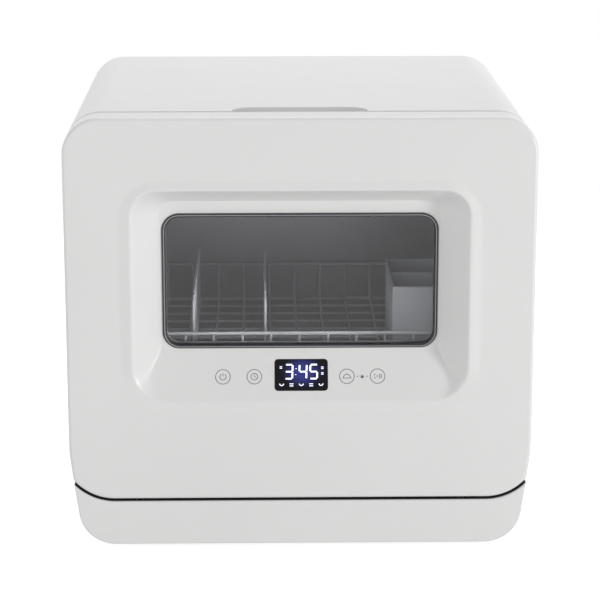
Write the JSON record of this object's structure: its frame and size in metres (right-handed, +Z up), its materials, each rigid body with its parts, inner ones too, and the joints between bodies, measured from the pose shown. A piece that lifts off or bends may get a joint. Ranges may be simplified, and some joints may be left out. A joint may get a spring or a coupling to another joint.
{
  "type": "countertop dishwasher",
  "caption": "White countertop dishwasher with a drop-down window door, sliding wire rack, spray arm, pumps and rear water connections.",
  "frame": {"origin": "on the ground under the middle of the whole box", "axes": "+X to the right seen from the front, +Y from the door to the rear connectors, +Z up"},
  "size_m": [0.43, 0.44, 0.407],
  "materials": {
    "white_shell": "fine satin, warm white",
    "white_gloss": "smooth satin gloss white",
    "grey_shell": "satin light grey",
    "grey_plastic": "satin mid grey",
    "ivory_plastic": "satin off-white",
    "dark_plastic": "satin black",
    "frame_grey": "satin dark grey",
    "display_black": "polished black with lit figures",
    "rubber": "soft matt",
    "tub_steel": "brushed",
    "heater_steel": "drawn tube, slightly tinted",
    "motor_steel": "satin grey",
    "plated_steel": "zinc plated",
    "coated_wire": "grey-blue coated wire",
    "board": "circuit board green",
    "foil": "amber film",
    "glass": "clear, slightly grey"
  },
  "bodies": {
    "cabinet": {"outer_casing": "white_shell", "front_frame": "white_shell", "rear_panel": "grey_shell", "base_pan": "white_shell", "base_front": "white_shell", "rubber_feet": "rubber", "wash_tub": "tub_steel", "tub_seal": "rubber", "rack_runners": "grey_plastic", "sump": "dark_plastic", "filter_plate": "tub_steel", "spray_shaft": "grey_plastic", "heating_element": "heater_steel", "float_guide": "ivory_plastic", "wash_pump_housing": "dark_plastic", "wash_pump_motor": "motor_steel", "suction_hose": "rubber", "pressure_pipe": "dark_plastic", "drain_pump": "dark_plastic", "drain_hose": "rubber", "drain_outlet": "dark_plastic", "inlet_valve": "ivory_plastic", "fill_hose": "rubber", "air_break": "ivory_plastic", "fan_housing": "dark_plastic", "control_box": "ivory_plastic", "power_gland": "dark_plastic", "latch_housing": "ivory_plastic", "door_switch": "dark_plastic", "hinge_brackets": "plated_steel", "hinge_pins": "plated_steel", "hinge_springs": "plated_steel", "case_screws": "plated_steel", "control_board": "board"},
    "spray_arm": {"spray_arm": "grey_plastic"},
    "filter_cup": {"filter_cup": "grey_plastic"},
    "wash_impeller": {"wash_impeller": "ivory_plastic"},
    "drain_impeller": {"drain_impeller": "ivory_plastic"},
    "fan_rotor": {"fan_rotor": "dark_plastic"},
    "float": {"float": "ivory_plastic"},
    "latch_bolt": {"latch_bolt": "dark_plastic"},
    "switch_plunger": {"switch_plunger": "dark_plastic"},
    "door": {"door_outer_shell": "white_gloss", "door_inner_liner": "grey_shell", "window_frame": "frame_grey", "window_glass_outer": "glass", "window_spacer": "rubber", "window_glass_inner": "glass", "display_lens": "display_black", "display_board": "board", "touch_foil": "foil", "detergent_cup": "ivory_plastic", "door_strike": "plated_steel", "hinge_arms": "plated_steel", "door_screws": "plated_steel"},
    "detergent_lid": {"detergent_lid": "ivory_plastic"},
    "rack": {"rack_frame": "coated_wire", "rack_tines": "coated_wire", "cutlery_basket": "grey_plastic", "rack_glides": "ivory_plastic"}
  },
  "joints": [
    {"name": "door_hinge", "type": "hinge", "parent": "cabinet", "child": "door", "pos_m": [0, -0.2108, 0.034], "axis": [1, 0, 0], "range_deg": [0, 90]},
    {"name": "rack_slide", "type": "slide", "parent": "cabinet", "child": "rack", "axis": [0, -1, 0], "range_m": [0, 0.205]},
    {"name": "spray_spin", "type": "hinge", "parent": "cabinet", "child": "spray_arm", "pos_m": [0, -0.01215, 0.1232], "axis": [0, 0, 1], "continuous": true},
    {"name": "filter_twist", "type": "hinge", "parent": "cabinet", "child": "filter_cup", "pos_m": [0, -0.07815, 0.1052], "axis": [0, 0, 1], "range_deg": [0, 90]},
    {"name": "wash_impeller_spin", "type": "hinge", "parent": "cabinet", "child": "wash_impeller", "pos_m": [-0.1, 0.01785, 0.064], "axis": [0, 1, 0], "continuous": true},
    {"name": "drain_impeller_spin", "type": "hinge", "parent": "cabinet", "child": "drain_impeller", "pos_m": [0.09, -0.04815, 0.064], "axis": [0, 1, 0], "continuous": true},
    {"name": "fan_spin", "type": "hinge", "parent": "cabinet", "child": "fan_rotor", "pos_m": [0.126, 0.182, 0.329], "axis": [0, 1, 0], "continuous": true},
    {"name": "float_slide", "type": "slide", "parent": "cabinet", "child": "float", "axis": [0, 0, 1], "range_m": [0, 0.006]},
    {"name": "latch_slide", "type": "slide", "parent": "cabinet", "child": "latch_bolt", "axis": [0, 0, 1], "range_m": [0, 0.0045], "stiffness_N_per_m": 200},
    {"name": "switch_press", "type": "slide", "parent": "cabinet", "child": "switch_plunger", "axis": [0, 1, 0], "range_m": [0, 0.0015], "stiffness_N_per_m": 200},
    {"name": "lid_hinge", "type": "hinge", "parent": "door", "child": "detergent_lid", "pos_m": [-0.1238, -0.1836, 0.1461], "axis": [1, 0, 0], "range_deg": [0, 90]}
  ],
  "couplings": [
    {"joint": "rack_slide", "follows": "door_hinge", "m_per_rad": 0.13}
  ]
}
